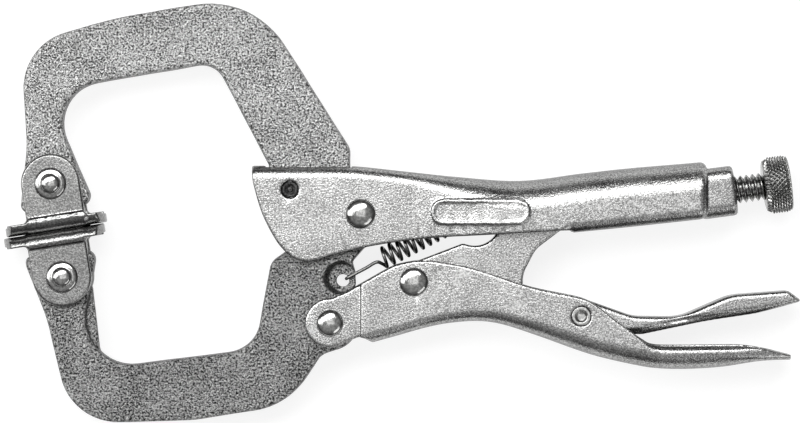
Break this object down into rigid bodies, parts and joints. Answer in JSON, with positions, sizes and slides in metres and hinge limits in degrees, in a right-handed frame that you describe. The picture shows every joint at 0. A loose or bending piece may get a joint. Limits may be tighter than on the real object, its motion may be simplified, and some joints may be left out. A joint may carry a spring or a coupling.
{
  "type": "locking c-clamp pliers with swivel pads",
  "caption": "Small locking C-clamp: two forged C jaws with swivel pads, pressed steel handles, toggle link, release lever, return spring and a knurled adjusting screw",
  "frame": {"origin": "Middle of the tool's outline on the surface that it lies on; z = 0 is the lowest rivet head", "axes": "+X along the tool from the jaws to the thumb screw, +Y from the lower handle to the fixed jaw, +Z out of the face that shows the rivet heads"},
  "size_m": [0.1391, 0.0732, 0.0121],
  "materials": {
    "plated_sheet": "satin nickel plate on pressed sheet",
    "forged_nickel": "satin nickel plate on blasted forging",
    "pad_nickel": "satin nickel plate, bright where pressed",
    "turned_steel": "nickel plate on turned steel",
    "bright_steel": "polished",
    "dark_steel": "dull",
    "spring_wire": "drawn wire"
  },
  "bodies": {
    "body": {"upper_handle": "plated_sheet", "fixed_jaw": "forged_nickel", "fixed_jaw_pin": "dark_steel", "jaw_pivot_rivet": "bright_steel", "upper_pad_rivet": "bright_steel", "return_spring": "spring_wire"},
    "lower_jaw": {"movable_jaw": "forged_nickel", "handle_rivet": "bright_steel", "lower_pad_rivet": "bright_steel"},
    "grip": {"lower_handle": "plated_sheet", "link_rivet": "bright_steel", "lever_pin": "bright_steel"},
    "link": {"toggle_link": "plated_sheet"},
    "release": {"release_lever": "plated_sheet"},
    "pad_above": {"upper_pad": "pad_nickel"},
    "pad_below": {"lower_pad": "pad_nickel"},
    "screw_slide": {"screw_tip": "turned_steel"},
    "thumb_screw": {"adjusting_screw": "turned_steel"}
  },
  "joints": [
    {"name": "jaw_pivot", "type": "hinge", "parent": "body", "child": "lower_jaw", "pos_m": [-0.0071, -0.0001, 0.00606], "axis": [0, 0, 1], "range_deg": [0, 24], "deforming": ["return_spring"]},
    {"name": "grip_pivot", "type": "hinge", "parent": "lower_jaw", "child": "grip", "pos_m": [-0.01245, -0.01915, 0.00606], "axis": [0, 0, 1], "range_deg": [-68.74, 0]},
    {"name": "link_pivot", "type": "hinge", "parent": "grip", "child": "link", "pos_m": [0.00215, -0.01195, 0.00606], "axis": [0, 0, 1], "range_deg": [0, 71.35]},
    {"name": "upper_pad_swivel", "type": "hinge", "parent": "body", "child": "pad_above", "pos_m": [-0.0611, 0.00515, 0.00606], "axis": [0, 0, 1], "range_deg": [0, 12]},
    {"name": "lower_pad_swivel", "type": "hinge", "parent": "lower_jaw", "child": "pad_below", "pos_m": [-0.0591, -0.01115, 0.00606], "axis": [0, 0, 1], "range_deg": [-12, 0]},
    {"name": "release_lever_pivot", "type": "hinge", "parent": "grip", "child": "release", "pos_m": [0.0313, -0.01795, 0.00606], "axis": [0, 0, 1], "range_deg": [-8, 0]},
    {"name": "screw_travel", "type": "slide", "parent": "body", "child": "screw_slide", "axis": [0.9914, 0.1305, 0], "range_m": [0, 0.00793]},
    {"name": "screw_turn", "type": "hinge", "parent": "screw_slide", "child": "thumb_screw", "pos_m": [0.0339, 0.00075, 0.00606], "axis": [0.9914, 0.1305, 0], "range_deg": [0, 2701]}
  ],
  "couplings": [
    {"joint": "grip_pivot", "follows": "jaw_pivot", "ratio": -2.8621},
    {"joint": "link_pivot", "follows": "jaw_pivot", "ratio": 2.971},
    {"joint": "upper_pad_swivel", "follows": "jaw_pivot", "ratio": 0.5},
    {"joint": "lower_pad_swivel", "follows": "jaw_pivot", "ratio": -0.5},
    {"joint": "screw_turn", "follows": "screw_travel", "rad_per_m": 5938.7}
  ]
}
